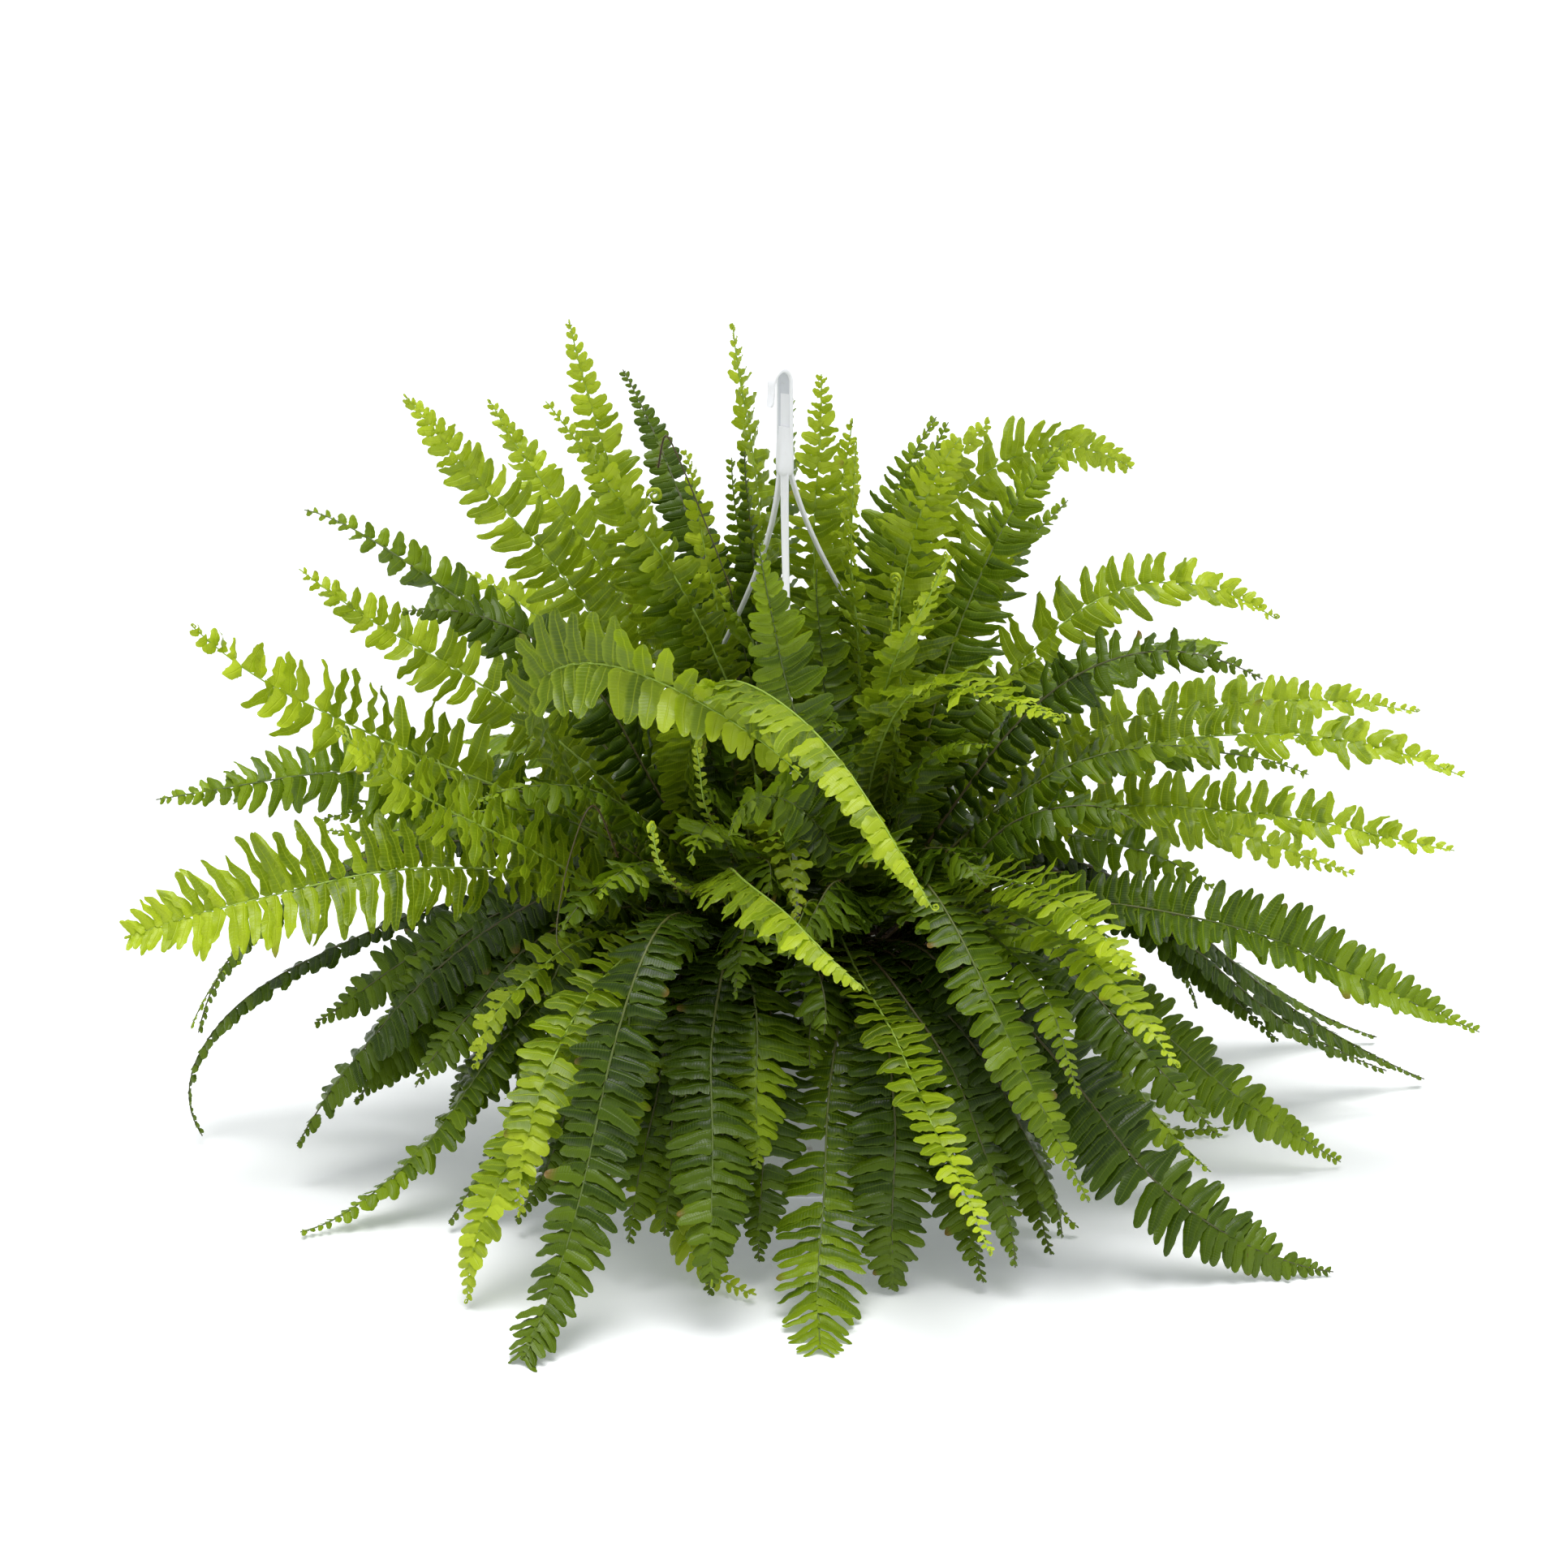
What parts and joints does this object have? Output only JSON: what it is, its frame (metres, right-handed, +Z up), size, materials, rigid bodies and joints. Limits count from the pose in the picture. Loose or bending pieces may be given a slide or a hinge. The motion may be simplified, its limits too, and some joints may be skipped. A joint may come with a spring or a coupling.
{
  "type": "potted nephrolepis fern in a hanging pot",
  "caption": "Sword fern with arching pinnate fronds, growing in a plastic hanging pot whose hook and legs stand up out of the foliage.",
  "frame": {"origin": "centre of the pot's flat base", "axes": "+Z up along the pot's axis, -Y towards the front, +X to the right seen from the front"},
  "size_m": [0.8902, 0.726, 0.5601],
  "materials": {
    "pot": "moulded white plastic, satin, a little soiled",
    "hanger": "moulded white plastic, smooth, slightly translucent",
    "soil": "moist peat and bark crumbs, matt",
    "young_frond": "bright yellow-green leaf, thin, soft sheen",
    "grown_frond": "mid green leaf with raised veins, satin sheen",
    "old_frond": "dark green leathery leaf with brown specks, satin sheen"
  },
  "bodies": {
    "root": {"fronds_back_1_1": "old_frond", "fronds_back_2_1": "old_frond", "fronds_back_3_1": "old_frond", "fronds_back_4_1": "old_frond", "fronds_back_5_1": "old_frond", "fronds_back_6_1": "old_frond", "fronds_back_7_1": "old_frond", "fronds_back_8_1": "old_frond", "fronds_back_9_1": "old_frond", "fronds_crest_1": "young_frond", "fronds_crest_2": "grown_frond", "fronds_crest_3": "young_frond", "fronds_crest_5": "young_frond", "fronds_floor_left_1": "old_frond", "fronds_floor_left_3": "old_frond", "fronds_floor_left_5": "grown_frond", "fronds_front_10": "grown_frond", "fronds_front_12": "young_frond", "fronds_front_14": "grown_frond", "fronds_front_15": "old_frond", "fronds_front_3": "grown_frond", "fronds_front_4": "grown_frond", "fronds_front_5": "grown_frond", "fronds_front_6": "old_frond", "fronds_front_7": "young_frond", "fronds_front_8": "old_frond", "fronds_front_9": "young_frond", "fronds_inner_1": "old_frond", "fronds_inner_15": "grown_frond", "fronds_inner_8": "old_frond", "fronds_left_1": "grown_frond", "fronds_left_2": "young_frond", "fronds_left_4": "grown_frond", "fronds_left_5": "young_frond", "fronds_left_6": "young_frond", "fronds_low_right_1": "old_frond", "fronds_low_right_2": "grown_frond", "fronds_low_right_4": "old_frond", "fronds_low_right_5": "old_frond", "fronds_low_right_6": "grown_frond", "fronds_middle_1": "young_frond", "fronds_middle_2": "grown_frond", "fronds_over_1": "young_frond", "fronds_over_2": "young_frond", "fronds_right_2": "young_frond", "fronds_right_4": "young_frond", "fronds_right_5": "grown_frond", "fronds_right_6": "young_frond", "fronds_right_7": "old_frond", "fronds_top_1": "young_frond", "fronds_top_2": "young_frond", "fronds_top_3": "young_frond", "fronds_top_4": "young_frond", "fronds_top_5": "young_frond", "fronds_top_7": "old_frond", "hanger": "hanger", "pot": "pot", "soil": "soil"}
  },
  "joints": []
}
